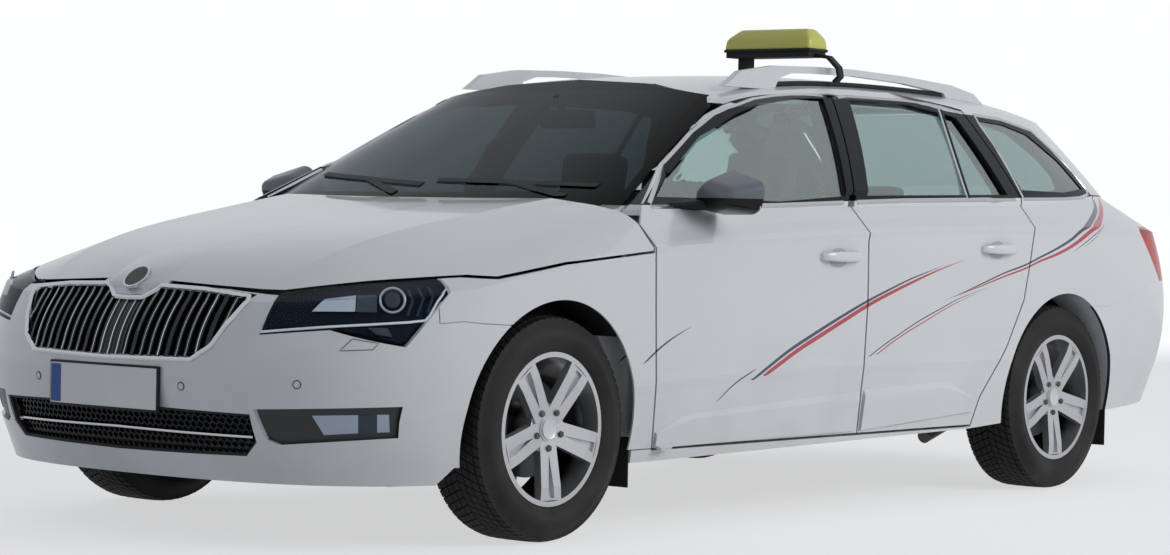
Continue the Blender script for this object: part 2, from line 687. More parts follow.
signYellow = plainMaterial("signYellow", (0.62, 0.60, 0.10), 0.35, coat=0.4, mottle=0.02)
screenTint = screenMaterial()
doorTint = glassMaterial("doorTint", (0.56, 0.74, 0.71), bend=2.2)
rearTint = glassMaterial("rearTint", (0.40, 0.54, 0.52), bend=2.2)
clearLens = glassMaterial("clearLens", (0.88, 0.92, 0.97), bend=1.12)
redLens = glassMaterial("redLens", (0.62, 0.01, 0.02), 0.08, 0.55)
fogBezel = plainMaterial("fogBezel", (0.022, 0.024, 0.027), 0.35)

useCad(bothSides("body_side", "front_door", "rear_door"),
       paintMaterial("sidePaint", "y", striped=True, framed=True, creased=True))
useCad(bothSides("front_wing"), paintMaterial("wingPaint", "y", striped=True, creased=True))
useCad(["roof_panel"], paintMaterial("topPaint", "z"))
useCad(["bonnet"], paintMaterial("bonnetPaint", "z", folded=True))
useCad(["tailgate", "rear_bumper"], paintMaterial("tailPaint", "tail"))
useCad(["front_bumper"], paintMaterial("nosePaint", "nose"))
useCad(["windscreen"], screenTint)
useCad(bothSides("front_door_glass"), doorTint)
useCad([*bothSides("rear_door_glass"), "quarter_windows", "tailgate_glass"], rearTint)
useCad(bothSides("headlamp"), clearLens)
useCad(["fog_lamps"], fogBezel)
useCad(["tail_lamps", "tailgate_lamps"], redLens)
useCad(["grille", "bumper_grille", "mud_flaps", "wheel_housings", "cowl", "wipers", "sign_bracket"],
       blackPlastic)
useCad(["dashboard", "steering_wheel", "floor_pan"], softBlack)
useCad(["roof_rails"], railSilver)
useCad(bothSides("rim_front", "rim_rear"), alloy)
useCad(["front_suspension", "front_subframe", "rear_axle", "front_aprons", *bothSides("front_knuckle")],
       darkMetal)
useCad(["engine_block"], castIron)
useCad(["exhaust"], brushed)
print("finishes on the carried panels")

# Tyres: a spun carcass with raised tread blocks

tyre = {"steps": 72, "lift": 0.0065, "inset": 0.0028, "sweep": 1.5, "reach": 0.330, "half": 0.1075,
        "tread": 0.3165, "band": (0.262, 0.290), "bandInset": 0.003, "bandRise": 0.0012,
        "section": [(0.216, 0.082), (0.226, 0.092), (0.240, 0.101), (0.262, 0.1065), (0.286, 0.105),
                    (0.304, 0.097), (0.316, 0.089), (0.3215, 0.070), (0.3225, 0.047), (0.323, 0.024),
                    (0.323, 0.0)]}


def makeTyre(name, node, body):
    low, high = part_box(node)
    scale = (high.z - low.z) / 2 / tyre["reach"]
    half = (high.y - low.y) / 2
    bm = bmesh.new()
    outline = tyre["section"] + [(r, -t) for r, t in reversed(tyre["section"][:-1])]
    points = [bm.verts.new((0, t * half / tyre["half"], r * scale)) for r, t in outline]
    chain = [bm.edges.new(ends) for ends in zip(points, points[1:])]
    bmesh.ops.spin(bm, geom=points + chain, axis=(0, 1, 0), cent=(0, 0, 0), dvec=(0, 0, 0), angle=math.tau,
                   steps=tyre["steps"], use_merge=True)
    bmesh.ops.recalc_face_normals(bm, faces=bm.faces)
    tread = [f for f in bm.faces if math.hypot(*f.calc_center_median().xz) > tyre["tread"] * scale]
    for v in {v for f in tread for v in f.verts}:
        v.co = Matrix.Rotation(tyre["sweep"] * abs(v.co.y), 3, "Y") @ v.co
    bmesh.ops.inset_individual(bm, faces=tread, thickness=tyre["inset"], depth=tyre["lift"])
    inner, outer = (edge * scale for edge in tyre["band"])
    band = [f for f in bm.faces if inner < math.hypot(*f.calc_center_median().xz) < outer]
    bmesh.ops.inset_region(bm, faces=band, thickness=tyre["bandInset"], depth=tyre["bandRise"],
                           use_even_offset=True)
    bmesh.ops.translate(bm, vec=(low + high) / 2, verts=bm.verts)
    piece = finishPiece(name, bm, body, rubber, 38)
    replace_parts(piece, node)


hub = {"cap": 0.030, "thick": 0.006, "inset": (0.004, -0.0015), "sink": 0.002, "clear": 0.004,
       "bolts": 5, "circle": 0.056, "bolt": (0.0105, 0.0095), "long": 0.012}


def makeWheelParts(end, side):
    sign = sides[side]
    label = end.capitalize() + side.capitalize()
    corner = end + "_" + side
    low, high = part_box("rim_" + corner)
    centre = (low + high) / 2
    makeTyre("tyre" + label, "tyre_" + corner, "wheel_" + corner)
    skin = skinOf("rim_" + corner)
    face = onSide(skin, centre.x, centre.z + hub["clear"], sign)[0]
    turn = Matrix.Rotation(-sign * math.pi / 2, 4, "X")
    seat = Matrix.Translation((centre.x, face.y - sign * hub["sink"], centre.z)) @ turn
    bm = roundLid(hub["cap"], hub["thick"], [hub["inset"]], 36, seat)   # blank centre cap with a ring
    finishPiece("wheelCap" + label, bm, "wheel_" + corner, railSilver, 30)
    bm = bmesh.new()
    for k in range(hub["bolts"]):
        spot = Matrix.Rotation(math.tau * (k + 0.5) / hub["bolts"], 4, "Y") @ Vector((0, 0, hub["circle"]))
        hit = onSide(skin, centre.x + spot.x, centre.z + spot.z, sign)[0]
        place = Matrix.Translation((centre.x + spot.x, hit.y if hit else face.y, centre.z + spot.z)) @ turn
        bmesh.ops.create_cone(bm, cap_ends=True, segments=6, radius1=hub["bolt"][0], radius2=hub["bolt"][1],
                              depth=hub["long"], matrix=place)
    finishPiece("wheelBolts" + label, bm, "wheel_" + corner, darkMetal, 30)


for end in ("front", "rear"):
    for side in sides:
        makeWheelParts(end, side)
print("wheels done")

# Bright trim along the windows, each length on the panel that carries it

# Radius and sink of the thick and the fine lengths
trim = {"step": 0.03, "thick": (0.011, 0.0075), "fine": (0.0055, 0.0015)}
trimRuns = {
    "rearDivider": ("door_rear", "fine", ["rear_door"], [(-0.842, 1.347), (-0.776, 1.036)]),
    "quarterFront": ("root", "fine", ["body_side", "quarter_windows"], [(-1.075, 1.334), (-1.165, 1.045)]),
    "frontDoorLow": ("door_front", "thick", ["front_door"],
                     [(0.985, 0.978), (0.70, 0.984), (0.336, 0.994), (-0.052, 1.009)]),
    "frontDoorTop": ("door_front", "thick", ["front_door"],
                     [(0.985, 0.989), (0.803, 1.0985), (0.571, 1.221), (0.44, 1.281), (0.365, 1.306),
                      (0.210, 1.341), (0.10, 1.3555), (0.008, 1.3635), (-0.07, 1.367), (-0.16, 1.367)]),
    "rearDoorLow": ("door_rear", "thick", ["rear_door"],
                    [(-0.070, 1.010), (-0.368, 1.021), (-0.80, 1.031), (-1.105, 1.037)]),
    "rearDoorTop": ("door_rear", "thick", ["rear_door"],
                    [(-0.235, 1.364), (-0.30, 1.371), (-0.641, 1.371), (-0.76, 1.366), (-0.893, 1.354),
                     (-0.99, 1.342)]),
    "quarterRing": ("root", "thick", ["body_side", "quarter_windows"],
                    [(-1.165, 1.040), (-1.50, 1.047), (-1.66, 1.055), (-1.712, 1.066), (-1.722, 1.082),
                     (-1.69, 1.125), (-1.616, 1.200), (-1.476, 1.296), (-1.262, 1.329), (-1.07, 1.338)]),
}
dividers = {"front": 0.013, "radius": 0.0095, "sink": 0.004}   # the black bar ahead of the fine bright one
ditch = {"y": 0.560, "front": 0.04, "rear": -1.02, "step": 0.06, "radius": 0.010, "rise": 0.005}


def sideLine(skin, line, sign, sink, ahead=0.0):
    return sunk([onSide(skin, x - ahead, z, sign) for x, z in alongLine(line, trim["step"])], sink)


def makeTrim():
    for side, sign in sides.items():
        for run, (body, size, carriers, line) in trimRuns.items():
            skin = skinOf(*(c if c == "quarter_windows" else c + "_" + side for c in carriers))
            radius, sink = trim[size]
            label = "trim" + run[0].upper() + run[1:] + side.capitalize()
            layStrips(label, [sideLine(skin, line, sign, sink)], radius, bodyOn(body, side), chrome)
    for side, sign in sides.items():
        places = sideLine(skinOf("rear_door_" + side), trimRuns["rearDivider"][-1], sign, dividers["sink"],
                          dividers["front"])
        layStrips("windowDivider" + side.capitalize(), [places], dividers["radius"], "door_rear_" + side,
                  blackPlastic)


# Black moulding on the roof under each rail
def makeRailMouldings():
    skin = skinOf("roof_panel", "body_side_left", "body_side_right")
    for side, sign in sides.items():
        places = []
        for p in alongLine([(ditch["front"], 0), (ditch["rear"], 0)], ditch["step"]):
            spot = skin.ray_cast(Vector((p.x, sign * ditch["y"], clear["roof"])), Vector((0, 0, -1)))[0]
            if spot:
                places.append(spot + Vector((0, 0, ditch["rise"])))
        layStrips("railMoulding" + side.capitalize(), [places], ditch["radius"], "root", blackPlastic)


makeTrim()
makeRailMouldings()
print("window trim done")

# Grille: bright frame with its dip, and blades with bright edges

grille = {"pitch": 0.0335, "blade": 0.013, "depth": 0.030, "frame": 0.0085, "edge": 0.0017, "centre": 0.056,
          "slim": (0.6, 2.4), "blades": 12, "gap": 0.004, "cuts": 7, "inside": 0.006, "edgeIn": 0.0075,
          "step": 0.012, "sink": 0.004, "sample": 0.027, "proud": 0.003, "half": 0.448, "back": 0.036,
          "wall": 0.004,
          "top": [(0.0, 0.688), (0.060, 0.690), (0.112, 0.7235), (0.28, 0.7185), (0.438, 0.704),
                  (0.449, 0.692)],
          "low": [(0.0, 0.521), (0.328, 0.5265), (0.386, 0.566), (0.449, 0.692)]}
grilleSkin = skinOf("grille")
noseSkin = skinOf("grille", "front_bumper", "bonnet")
bumperSkin = skinOf("front_bumper")
bonnetSkin = skinOf("bonnet")


# The nose is read at set widths, where the grille's own slats stand, and beside the grille anywhere
def noseX(y, z):
    hit = onNose(grilleSkin, round(y / grille["sample"]) * grille["sample"], z)[0]
    if hit is None:
        hit = onNose(noseSkin, y, z)[0]
    return hit.x + grille["proud"]


def levelAt(line, y):
    return heightAt(line, abs(y))


# Shapes a panel across the nose between two lines
def noseShape(low, high, half, depthAt):
    def shape(across, up):
        y = across * half
        z0, z1 = levelAt(low, y), levelAt(high, y)
        z = z0 + (z1 - z0) * (up + 1) / 2
        return depthAt(y, z), y, z

    return shape


# The whole outline from its half on the left, in steps
def wholeRing(half, step):
    outline = half + [(-y, z) for y, z in reversed(half[1:-1])]
    return alongLine(outline + outline[:1], step)[:-1]


def makeGrille():
    low, top = grille["low"], grille["top"]
    line = wholeRing(top + low[-2::-1], grille["step"])
    places = [(noseX(y, z) - grille["sink"], y, z) for y, z in line]
    layStrips("grilleFrame", [places], grille["frame"], "root", chrome, closed=True)
    shape = noseShape(low, top, grille["half"], lambda y, z: noseX(y, z) - grille["back"])
    bm = shapedSheet((30, 8), shape, grille["wall"])
    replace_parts(finishPiece("grilleBack", bm, "root", blackPlastic), "grille")
    bm = bmesh.new()
    edges = []
    steps = grille["cuts"] + 1
    for k in range(-grille["blades"], grille["blades"] + 1):
        y = k * grille["pitch"]
        shallow, wide = grille["slim"] if abs(y) < grille["centre"] else (1, 1)
        z0, z1 = levelAt(low, y) + grille["gap"], levelAt(top, y) - grille["gap"]
        made = bmesh.ops.create_cube(bm, size=1)["verts"]
        bmesh.ops.scale(bm, vec=(grille["depth"] * shallow, grille["blade"] * wide, z1 - z0), verts=made)
        place = (-grille["depth"] / 2 - grille["inside"], y, (z0 + z1) / 2)
        bmesh.ops.translate(bm, vec=place, verts=made)
        heights = [z0 + (z1 - z0) * s / steps for s in range(steps + 1)]
        edges.append([(noseX(y, z) - grille["edgeIn"], y, z) for z in heights])
    tall = [e for e in bm.edges if abs(e.verts[0].co.z - e.verts[1].co.z) > 0.02]
    bmesh.ops.subdivide_edges(bm, edges=tall, cuts=grille["cuts"], use_grid_fill=True)
    for v in bm.verts:
        v.co.x += noseX(v.co.y, v.co.z)
    finishPiece("grilleBlades", bm, "root", blackGloss, 30)
    layStrips("grilleEdges", edges, grille["edge"], "root", chrome)


# The bonnet's tip comes down between the two halves of the grille and carries a plain round badge
tip = {"half": 0.132, "fade": 0.125, "gap": (0.728, 0.753), "foot": 0.0015, "thick": 0.006, "cuts": (28, 24),
       "top": [(0.0, 0.840), (0.14, 0.840)],
       "low": [(0.0, 0.690), (0.060, 0.692), (0.118, 0.7265), (0.14, 0.7265)],
       "lift": [(0.68, 0.0015), (0.725, 0.0030), (0.735, 0.0065), (0.745, 0.0120), (0.755, 0.0160),
                (0.775, 0.0180), (0.810, 0.0090), (0.840, -0.0020)]}
badge = {"z": 0.745, "radius": 0.044, "thick": 0.008, "sink": 0.002, "reach": 0.01,
         "insets": [(0.006, 0.0), (0.001, -0.002)],
         "face": (0.037, 0.036), "faceThick": 0.002, "faceAt": 0.0072}


def tipX(y, z):
    low, high = tip["gap"]
    below = noseX(y, min(z, low))
    if z > low:
        above = onNose(bonnetSkin, y, max(z, high))[0].x
        below += (above - below) * min(1.0, (z - low) / (high - low))
    share = max(0.0, 1 - (y / tip["fade"]) ** 2)
    return below + levelAt(tip["lift"], z) * share - tip["foot"] * (1 - share)


def makeNoseTip():
    bm = shapedSheet(tip["cuts"], noseShape(tip["low"], tip["top"], tip["half"], tipX), tip["thick"])
    finishPiece("bonnetTip", bm, "bonnet_lid", nodes["front_bumper"].data.materials[0], 40)
    z = badge["z"]
    slope = tipX(0, z - badge["reach"]) - tipX(0, z + badge["reach"])
    normal = Vector((badge["reach"] * 2, 0, slope)).normalized()
    seat = facing(Vector((tipX(0, z), 0, z)) - normal * badge["sink"], normal)
    bm = roundLid(badge["radius"], badge["thick"], badge["insets"], 48, seat)
    finishPiece("plainBadge", bm, "bonnet_lid", chrome, 30)
    bm = bmesh.new()
    bmesh.ops.create_cone(bm, cap_ends=True, segments=48, radius1=badge["face"][0], radius2=badge["face"][1],
                          depth=badge["faceThick"], matrix=seat @ Matrix.Translation((0, 0, badge["faceAt"])))
    finishPiece("plainBadgeFace", bm, "bonnet_lid", blackGloss, 30)


makeGrille()
makeNoseTip()
print("grille done")

# Lower intake: six-sided mesh, bright strip and a dark panel behind

intake = {"cell": 0.021, "wall": 0.0016, "deep": 0.012, "row": 0.78, "column": 1.06, "fill": 0.60,
          "rows": 9, "columns": 24, "foot": 0.262, "gap": 0.004, "end": 0.498, "inside": 0.020, "half": 0.50,
          "back": 0.050, "backWall": 0.004, "rim": (0.006, 0.008), "bright": (0.0042, 0.012), "step": 0.03,
          "lips": (0.405, 0.246),
          "top": [(0.0, 0.392), (0.506, 0.381)], "low": [(0.0, 0.260), (0.462, 0.266), (0.506, 0.306)],
          "strip": [(0.0, 0.322), (0.49, 0.317)]}


# The opening's front lies between the bumper's lips above and below it
def intakeX(y, z):
    high, low = intake["lips"]
    above, below = (onNose(bumperSkin, y, lip)[0].x for lip in (high, low))
    return above + (below - above) * (high - z) / (high - low)


def makeIntake():
    bm = bmesh.new()
    size = intake["cell"]
    turn = Matrix.Rotation(math.pi / 2, 4, "Y")
    for row in range(intake["rows"]):
        for k in range(-intake["columns"], intake["columns"] + 1):
            y = (k + 0.5 * (row % 2)) * size * intake["column"]
            z = intake["foot"] + row * size * intake["row"]
            low, high = (levelAt(intake[line], y) for line in ("low", "top"))
            if low + intake["gap"] < z < high - intake["gap"] and abs(y) < intake["end"]:
                bmesh.ops.create_circle(bm, cap_ends=True, segments=6, radius=size * intake["fill"],
                                        matrix=Matrix.Translation((0, y, z)) @ turn)
    made = bmesh.ops.inset_individual(bm, faces=bm.faces[:], thickness=intake["wall"], depth=0)
    walls = set(made["faces"])
    bmesh.ops.delete(bm, geom=[f for f in bm.faces if f not in walls], context="FACES")
    grown = bmesh.ops.extrude_face_region(bm, geom=bm.faces[:])
    bmesh.ops.translate(bm, vec=(-intake["deep"], 0, 0), verts=grownCorners(grown))
    bmesh.ops.recalc_face_normals(bm, faces=bm.faces)
    for v in bm.verts:
        v.co.x += intakeX(v.co.y, v.co.z) - intake["inside"]
    finishPiece("intakeMesh", bm, "root", blackGloss)
    shape = noseShape(intake["low"], intake["top"], intake["half"],
                      lambda y, z: intakeX(y, z) - intake["back"])
    bm = bmesh.new()
    bmesh.ops.create_grid(bm, x_segments=24, y_segments=3, size=1)
    for v in bm.verts:
        v.co = shape(v.co.x, v.co.y)
    bmesh.ops.solidify(bm, geom=bm.faces[:], thickness=intake["backWall"])   # the second sheet hangs below
    bmesh.ops.recalc_face_normals(bm, faces=bm.faces)
    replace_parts(finishPiece("intakeBack", bm, "root", blackPlastic), "bumper_grille")
    radius, sink = intake["rim"]
    line = wholeRing(intake["top"] + intake["low"][::-1], intake["step"])
    places = [(intakeX(y, z) - sink, y, z) for y, z in line]
    layStrips("intakeRim", [places], radius, "root", blackPlastic, closed=True)
    radius, sink = intake["bright"]
    line = alongLine([(-y, z) for y, z in intake["strip"][:0:-1]] + intake["strip"], intake["step"])
    places = [(intakeX(y, z) - sink, y, z) for y, z in line]
    layStrips("intakeStrip", [places], radius, "root", chrome)


makeIntake()
print("intake done")

# Number plates, blank

plate = {"size": (0.005, 0.442, 0.116), "rim": (0.003, -0.0008), "front": (2.4315, 0, 0.438),
         "rear": (-0.014, 0, -0.002), "band": (0.001, 0.041, 0.108), "bandAt": (0.0027, -0.197, 0),
         "holder": (0.010, 0.456, 0.130), "holderAt": (-0.0055, 0, 0), "bevels": (0.002, 0.0003, 0.004)}


def makePlate(name, seat, body, node):
    edge, bandEdge, holderEdge = plate["bevels"]
    bm = roundedBlock(plate["size"], edge, 2)
    face = max(bm.faces, key=lambda f: f.calc_center_median().x * 10 + f.calc_area())
    bmesh.ops.inset_region(bm, faces=[face], thickness=plate["rim"][0], depth=plate["rim"][1])
    bmesh.ops.transform(bm, matrix=seat, verts=bm.verts)
    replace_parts(finishPiece(name, bm, body, plateWhite, 30), node)
    bm = roundedBlock(plate["band"], bandEdge, 1, seat @ Matrix.Translation(plate["bandAt"]))
    finishPiece(name + "Band", bm, body, plateBlue, 30)
    bm = roundedBlock(plate["holder"], holderEdge, 2, seat @ Matrix.Translation(plate["holderAt"]))
    finishPiece(name + "Holder", bm, body, blackPlastic, 30)


# The rear plate leans with the tailgate behind it
def rearPlateSeat():
    low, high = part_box("rear_plate")
    skin = skinOf("tailgate")
    starts = (Vector((clear["tail"], 0, z)) for z in (low.z, high.z))
    foot, head = (skin.ray_cast(start, Vector((1, 0, 0)))[0] for start in starts)
    lean = math.atan2(head.x - foot.x, head.z - foot.z)
    place = Matrix.Translation((head + foot) / 2 + Vector(plate["rear"]))
    return place @ Matrix.Rotation(lean, 4, "Y") @ Matrix.Rotation(math.pi, 4, "Z")


makePlate("frontPlate", Matrix.Translation(plate["front"]), "root", "front_plate")
makePlate("rearPlate", rearPlateSeat(), "tail_door", "rear_plate")

# Headlamps: clear block with a dark shell, projector, box reflector and light strip inside

lamp = {"shell": 0.014, "back": 0.007, "guide": (0.0036, 0.008), "tilt": (0.35, 0.10, 0.0), "ring": 0.034,
        "tube": 0.0038, "bulb": 0.022, "flat": 0.35, "deep": 0.007, "rib": (0.0040, 0.007), "ribStep": 4,
        "patch": (-0.006, 0.003), "projector": (392.4, 299.8),
        "strip": [(259.5, 331.0), (300, 328.0), (328.6, 326.1), (370, 324.3), (410.7, 322.2), (426.5, 320.5),
                  (430.5, 316), (439, 301), (446.6, 287.5)],
        "louvres": [[(408, 289), (413, 300), (408, 315)], [(418, 287), (424, 298), (418, 316)],
                    [(428, 286), (434, 296), (428, 313)]],
        "patches": {"reflectorBox": [(324, 298), (356, 294), (355, 311), (311.5, 310.5)],
                    "reflectorEnd": [(357, 294), (377, 293.5), (377, 312), (356, 311)],
                    "cornerReflector": [(368, 327.5), (388, 328), (393, 337), (377, 334)]}}
lampDark = plainMaterial("lampDark", (0.004, 0.008, 0.018), 0.5, shine=0.05)
lampBlue = plainMaterial("lampLouvre", (0.025, 0.045, 0.085), 0.4, shine=0.1)
lampDim = plainMaterial("lampDim", (0.060, 0.075, 0.095), 0.4, shine=0.1)
lampSteel = plainMaterial("lampReflector", (0.36, 0.42, 0.50), 0.25, 0.5, mottle=0.02)
lampLight = plainMaterial("lightGuide", (0.86, 0.90, 0.95), 0.25, coat=0.3, mottle=0.01)


def makeHeadlamps():
    skin = skinOf("headlamp_left")
    bm = bmesh.new()
    bm.from_mesh(nodes["headlamp_left"].data)
    bmesh.ops.remove_doubles(bm, verts=bm.verts, dist=0.00005)
    bm.normal_update()
    for v in bm.verts:
        v.co -= v.normal * lamp["shell"] + Vector((lamp["back"], 0, 0))
    pair("lampShell", bm, "root", lampDark, 30)
    radius, sink = lamp["guide"]
    places = sunk([fromView(skin, *p) for p in lamp["strip"]], sink)
    for side, sign in sides.items():
        layStrips("lightStrip" + side.capitalize(), [onHand(places, sign)], radius, "root", lampLight)
    spot, normal = fromView(skin, *lamp["projector"])
    normal = (normal + Vector(lamp["tilt"])).normalized()
    seat = facing(spot - normal * lamp["deep"], normal)
    bm = bmesh.new()
    bmesh.ops.create_uvsphere(bm, u_segments=28, v_segments=14, radius=lamp["bulb"])
    bmesh.ops.scale(bm, vec=(1, 1, lamp["flat"]), verts=bm.verts)
    bmesh.ops.transform(bm, matrix=seat, verts=bm.verts)
    pair("projectorLens", bm, "root", lampDim, 60)
    bm = bmesh.new()
    place = Matrix.Translation((lamp["ring"], 0, 0)) @ Matrix.Rotation(math.pi / 2, 4, "X")
    bmesh.ops.create_circle(bm, segments=12, radius=lamp["tube"], matrix=place)
    bmesh.ops.spin(bm, geom=bm.verts[:] + bm.edges[:], axis=(0, 0, 1), cent=(0, 0, 0), dvec=(0, 0, 0),
                   angle=math.tau, steps=32, use_merge=True)
    bmesh.ops.recalc_face_normals(bm, faces=bm.faces)
    bmesh.ops.transform(bm, matrix=seat, verts=bm.verts)
    pair("projectorRing", bm, "root", lampSteel, 60)
    for name, corners in lamp["patches"].items():
        material = lampSteel if name == "reflectorBox" else lampDim
        pair(name, laidPatch(skin, corners, *lamp["patch"]), "root", material, 30)
    radius, sink = lamp["rib"]
    ribs = [alongLine(line, lamp["ribStep"]) for line in lamp["louvres"]]
    ribs = [sunk([fromView(skin, *p) for p in line], sink) for line in ribs]
    for side, sign in sides.items():
        runs = [onHand(line, sign) for line in ribs]
        layStrips("lampLouvres" + side.capitalize(), runs, radius, "root", lampBlue)


makeHeadlamps()

# Fog lamps: reflector, lens and end piece on the dark bezel

fog = {"patch": (0.0022, 0.003),
       "patches": {"fogReflector": [(312, 415.5), (358, 415), (358, 433), (324, 434.8)],
                   "fogLens": [(358, 415), (377, 414.6), (377, 432.3), (358, 433)],
                   "fogEnd": [(377, 414.6), (388.8, 414.6), (389.4, 432), (377, 432.3)]}}


def makeFogLamps():
    skin = skinOf("fog_lamps")
    for name, corners in fog["patches"].items():
        material = lampDim if name == "fogLens" else lampSteel
        pair(name, laidPatch(skin, corners, *fog["patch"]), "root", material, 30)


makeFogLamps()
print("lamps done")

# Parking sensors and the cover outlines on the front bumper

sensors = {"radius": 0.0095, "taper": 0.94, "thick": 0.004, "ring": 0.0112, "wire": 0.0011, "lift": 0.0005,
           "spots": [(0.299, 0.451), (0.640, 0.470)],
           "cover": [(339.8, 350.9), (352.8, 338.9), (379.0, 343.5), (373.0, 349.8)], "step": 0.012,
           "coverLift": 0.0006}


def makeSensors():
    bm = bmesh.new()
    rings = []
    circle = [math.tau * k / 20 for k in range(20)]
    circle = [Vector((math.cos(a), math.sin(a), 0)) * sensors["ring"] for a in circle]
    for y, z in sensors["spots"]:
        spot, normal = onNose(bumperSkin, y, z)
        bmesh.ops.create_cone(bm, cap_ends=True, segments=24, radius1=sensors["radius"],
                              radius2=sensors["radius"] * sensors["taper"], depth=sensors["thick"],
                              matrix=facing(spot, normal))
        seat = facing(spot + normal * sensors["lift"], normal)
        rings += [onHand([seat @ p for p in circle], sign) for sign in sides.values()]
    pair("parkingSensor", bm, "root", nodes["front_bumper"].data.materials[0], 30)
    layStrips("sensorRings", rings, sensors["wire"], "root", blackPlastic, closed=True)
    corners = [fromView(bumperSkin, *p)[0] for p in sensors["cover"]]
    line = []
    for p in alongLine(corners + corners[:1], sensors["step"])[:-1]:
        hit = onNose(bumperSkin, p.y, p.z)[0]
        line.append(Vector((hit.x + sensors["coverLift"], p.y, p.z)) if hit else p)
    runs = [onHand(line, sign) for sign in sides.values()]
    layStrips("washerCovers", runs, sensors["wire"], "root", darkMetal, closed=True)


makeSensors()
print("front done")

# Door mirrors

mirror = {"rear": 0.706, "shift": (0.110, -0.012, -0.004), "squeeze": (1, 0.78, 0.62), "drop": 0.010,
          "bevel": 0.022, "flat": 0.75, "rim": (0.008, -0.004), "pivot": (0.75, 0.95, 1.04), "turn": -12,
          "glass": (-0.0008, 0.002), "split": (1.0112, 1.0104), "foot": (0.004, 0.004, 0.005),
          "outline": [(0.850, 0.960), (0.832, 1.044), (0.902, 1.104), (1.060, 1.058), (1.050, 0.985),
                      (1.020, 0.962)],
          "arm": [(0.90, 0.800, 0.975), (0.93, 0.792, 0.990), (0.78, 0.812, 1.010), (0.73, 0.815, 0.985),
                  (0.76, 0.90, 0.975), (0.80, 0.905, 0.985), (0.79, 0.90, 1.002), (0.80, 0.805, 0.968)]}


# The shell's lower part is black
def mirrorMaterial():
    material = plainMaterial("mirrorShell", (0.17, 0.19, 0.215), 0.3, 0.2, coat=0.1, shine=0.3)
    tree = material.node_tree
    paintOver(material, fade(tree, objectPlace(tree)[1][2], *mirror["split"]), mirror["foot"])
    return material


def makeMirrors():
    bm = bmesh.new()
    back = bm.faces.new([bm.verts.new((mirror["rear"], y, z)) for y, z in mirror["outline"]])
    ahead = grownCorners(bmesh.ops.extrude_face_region(bm, geom=[back]))
    middle = sum((v.co for v in ahead), Vector()) / len(ahead)
    bmesh.ops.translate(bm, vec=mirror["shift"], verts=ahead)
    centre = Matrix.Translation((0, -middle.y, mirror["drop"] - middle.z))
    bmesh.ops.scale(bm, vec=mirror["squeeze"], verts=ahead, space=centre)
    bmesh.ops.recalc_face_normals(bm, faces=bm.faces)
    front = [e for e in bm.edges if max(v.co.x for v in e.verts) > mirror["flat"]]
    bmesh.ops.bevel(bm, geom=front, offset=mirror["bevel"], segments=4, **bevelled)
    rear = min(bm.faces, key=lambda f: f.calc_center_median().x)
    bmesh.ops.inset_region(bm, faces=[rear], thickness=mirror["rim"][0], depth=mirror["rim"][1])
    turn = Matrix.Rotation(math.radians(mirror["turn"]), 3, "Z")
    bmesh.ops.rotate(bm, cent=mirror["pivot"], matrix=turn, verts=bm.verts)
    rear = min(bm.faces, key=lambda f: f.normal.x * f.calc_area())
    points = [v.co - rear.normal * d for v in rear.verts for d in mirror["glass"]]
    shells = pair("mirrorShell", bm, "door_front", mirrorMaterial(), 35)
    for shell, node in zip(shells, ("mirror_left", "mirror_right")):
        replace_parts(shell, node)
    pair("mirrorGlass", convexPiece(points), "door_front", chrome, 30)
    pair("mirrorArm", convexPiece(mirror["arm"], 0.004), "door_front", blackPlastic, 35)


makeMirrors()

# Door handles: a bow that stands off the door at its middle

handle = {"size": (0.225, 0.016, 0.034), "bevel": 0.006, "stand": 0.0255, "taper": 0.30, "cuts": 11,
          "cup": (0.058, 0.032, 0.0018), "cupAt": (0.010, -0.004),
          "places": {"front": (0.118, 0.834), "rear": (-0.846, 0.862)}}


def makeHandles():
    for end, (x, z) in handle["places"].items():
        skin = skinOf(end + "_door_left")
        bm = roundedBlock(handle["size"], handle["bevel"], 2)
        long = [e for e in bm.edges if abs(e.verts[0].co.x - e.verts[1].co.x) > 0.1]
        bmesh.ops.subdivide_edges(bm, edges=long, cuts=handle["cuts"], use_grid_fill=True)
        for v in bm.verts:
            share = v.co.x / (handle["size"][0] / 2)
            v.co.y += handle["stand"] * (1 - share ** 4)
            v.co.z *= 1 - handle["taper"] * share * share
            spot = onSide(skin, x + v.co.x, z, 1)[0]
            v.co += Vector((x, spot.y, z))
        white = nodes[end + "_door_left"].data.materials[0]
        pair("handle" + end.capitalize(), bm, "door_" + end, white, 45)
        ahead, above = handle["cupAt"]
        spot, normal = onSide(skin, x + ahead, z + above, 1)
        bm = bmesh.new()
        bmesh.ops.create_uvsphere(bm, u_segments=28, v_segments=10, radius=1)
        bmesh.ops.scale(bm, vec=handle["cup"], verts=bm.verts)
        bmesh.ops.transform(bm, matrix=facing(spot, normal), verts=bm.verts)
        pair("handleCup" + end.capitalize(), bm, "door_" + end, handleShade, 60)


handleShade = plainMaterial("handleCup", (0.50, 0.515, 0.53), 0.35, coat=0.5)
makeHandles()

# Raised panel along the foot of each door

mould = {"side": 0.90, "stand": 0.010, "edge": 6, "least": 0.06, "wall": 0.009, "cuts": (40, 6),
         "top": {"front": [(1.015, 0.302), (0.856, 0.351), (-0.050, 0.393)],
                 "rear": [(-0.082, 0.396), (-0.530, 0.409), (-0.600, 0.402), (-0.760, 0.352)]},
         "low": {"front": [(1.015, 0.253), (-0.050, 0.262)], "rear": [(-0.082, 0.262), (-0.760, 0.300)]}}


